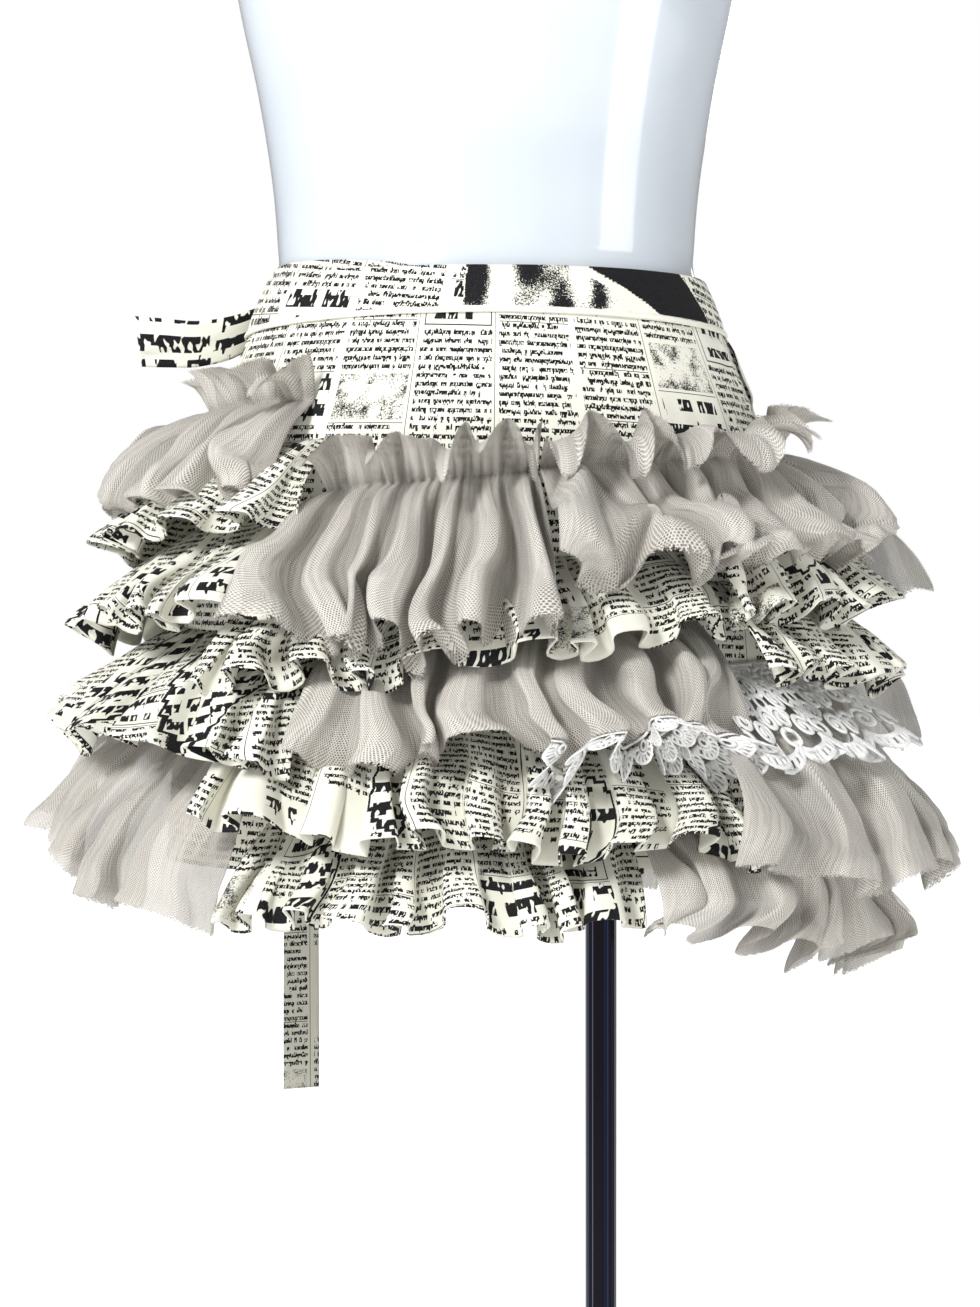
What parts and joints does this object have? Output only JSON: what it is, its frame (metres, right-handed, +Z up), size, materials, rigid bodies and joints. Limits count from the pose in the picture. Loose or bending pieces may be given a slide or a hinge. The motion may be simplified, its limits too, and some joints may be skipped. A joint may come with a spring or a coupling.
{
  "type": "wrap skirt on a dress form",
  "caption": "Short tiered wrap skirt of printed cotton with gathered knitted mesh, print and lace ruffles, on a limbless dress form and pole stand.",
  "frame": {"origin": "centre of the base plate's underside, on the pole's axis", "axes": "+Z up along the pole, the skirt's front faces -Y, +X to the right seen from the front"},
  "size_m": [0.5624, 0.4354, 1.508],
  "materials": {
    "printed_cotton": "plain woven cotton, cream, with a near-black newsprint-like print",
    "knitted_mesh": "soft greige knitted mesh",
    "cotton_lace": "white scalloped cotton lace",
    "form_shell": "glossy white moulded shell",
    "stand_tube": "polished, near black",
    "stand_plate": "dark satin"
  },
  "bodies": {
    "root": {"base_plate": "stand_plate", "pole": "stand_tube", "base_collar": "stand_tube", "form_flange": "stand_tube", "neck_cap": "stand_tube", "form_torso": "form_shell", "band_front": "printed_cotton", "band_under": "printed_cotton", "band_back": "printed_cotton", "front_panel": "printed_cotton", "under_panel": "printed_cotton", "back_panel": "printed_cotton", "back_yoke": "printed_cotton", "print_2_left": "printed_cotton", "print_2_front": "printed_cotton", "print_2_right": "printed_cotton", "print_2_back": "printed_cotton", "print_3_left": "printed_cotton", "print_3_right": "printed_cotton", "print_4_left": "printed_cotton", "print_4_front": "printed_cotton", "print_4_back": "printed_cotton", "print_5_front": "printed_cotton", "side_tie": "printed_cotton", "back_tie": "printed_cotton", "mesh_1_left": "knitted_mesh", "mesh_1_front": "knitted_mesh", "mesh_1_right": "knitted_mesh", "mesh_1_back": "knitted_mesh", "mesh_3_front": "knitted_mesh", "mesh_3_back": "knitted_mesh", "mesh_4_right": "knitted_mesh", "mesh_5_left": "knitted_mesh", "mesh_5_right": "knitted_mesh", "mesh_5_back": "knitted_mesh", "lace_right": "cotton_lace", "lace_edging": "cotton_lace"}
  },
  "joints": []
}
